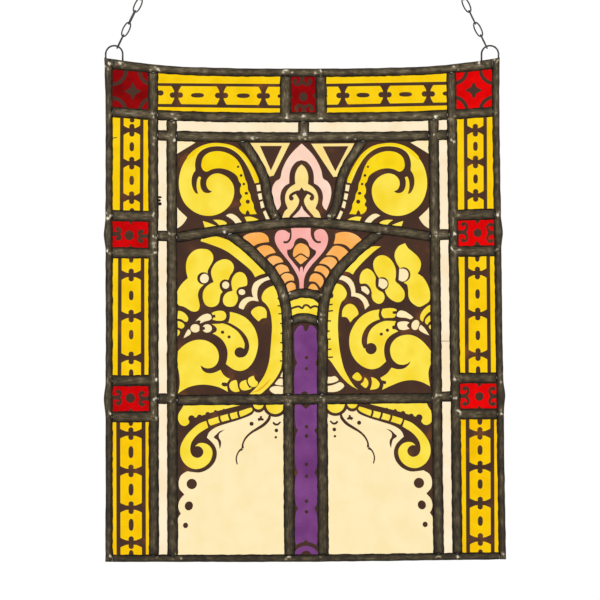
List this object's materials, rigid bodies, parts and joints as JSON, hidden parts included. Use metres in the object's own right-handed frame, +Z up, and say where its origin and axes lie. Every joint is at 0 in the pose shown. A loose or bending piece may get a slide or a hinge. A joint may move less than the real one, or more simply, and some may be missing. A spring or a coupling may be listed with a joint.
{
  "type": "stained glass window",
  "caption": "Hanging leaded stained-glass panel with a coloured border and painted scrollwork, held by two chains from one ring.",
  "frame": {"origin": "top of the eye of the hanging ring, where a hook bears", "axes": "+Z up along the hung panel; the painted front faces -Y; +X to the right seen from the front"},
  "size_m": [0.4022, 0.0076, 0.9088],
  "materials": {
    "lead_came": "dull oxidised grey-brown lead came, rounded face, with brighter solder at the joints",
    "steel_wire": "tarnished tinned steel wire of the chains, loops and ring",
    "yellow_glass": "clear warm yellow cathedral glass, faintly streaked",
    "ruby_glass": "deep ruby cathedral glass",
    "ivory_glass": "pale ivory glass with a thin painted matting",
    "purple_glass": "purple cathedral glass, mottled",
    "painted_glass": "pale glass painted with silver stain, ivory and fired dark brown vitreous paint"
  },
  "bodies": {
    "root": {"chain_left": "steel_wire", "chain_right": "steel_wire", "glass_border_corner_left": "ruby_glass", "glass_border_corner_right": "ruby_glass", "glass_border_lower_bar_left": "yellow_glass", "glass_border_lower_bar_right": "yellow_glass", "glass_border_lower_square_left": "ruby_glass", "glass_border_lower_square_right": "ruby_glass", "glass_border_middle_bar_left": "yellow_glass", "glass_border_middle_bar_right": "yellow_glass", "glass_border_top_left": "yellow_glass", "glass_border_top_right": "yellow_glass", "glass_border_top_square": "ruby_glass", "glass_border_upper_bar_left": "yellow_glass", "glass_border_upper_bar_right": "yellow_glass", "glass_border_upper_square_left": "ruby_glass", "glass_border_upper_square_right": "ruby_glass", "glass_collar": "painted_glass", "glass_column_lower": "purple_glass", "glass_column_upper": "purple_glass", "glass_curl_left": "painted_glass", "glass_curl_right": "painted_glass", "glass_fan": "painted_glass", "glass_fillet_corner_left": "ivory_glass", "glass_fillet_corner_right": "ivory_glass", "glass_fillet_lower_left": "ivory_glass", "glass_fillet_lower_right": "ivory_glass", "glass_fillet_middle_left": "ivory_glass", "glass_fillet_middle_right": "ivory_glass", "glass_fillet_top_left": "ivory_glass", "glass_fillet_top_right": "ivory_glass", "glass_fillet_upper_left": "ivory_glass", "glass_fillet_upper_right": "ivory_glass", "glass_leaf_left": "painted_glass", "glass_leaf_right": "painted_glass", "glass_palmette": "painted_glass", "glass_scroll_left": "painted_glass", "glass_scroll_right": "painted_glass", "hanging_ring": "steel_wire", "lead_border_left": "lead_came", "lead_border_right": "lead_came", "lead_border_top": "lead_came", "lead_collar": "lead_came", "lead_column_left": "lead_came", "lead_column_right": "lead_came", "lead_curve_left": "lead_came", "lead_curve_right": "lead_came", "lead_edge_bottom": "lead_came", "lead_edge_left": "lead_came", "lead_edge_right": "lead_came", "lead_edge_top": "lead_came", "lead_fillet_left": "lead_came", "lead_fillet_right": "lead_came", "lead_fillet_top": "lead_came", "lead_lower_transom": "lead_came", "lead_neck": "lead_came", "lead_transom": "lead_came", "loop_left": "steel_wire", "loop_right": "steel_wire"}
  },
  "joints": []
}
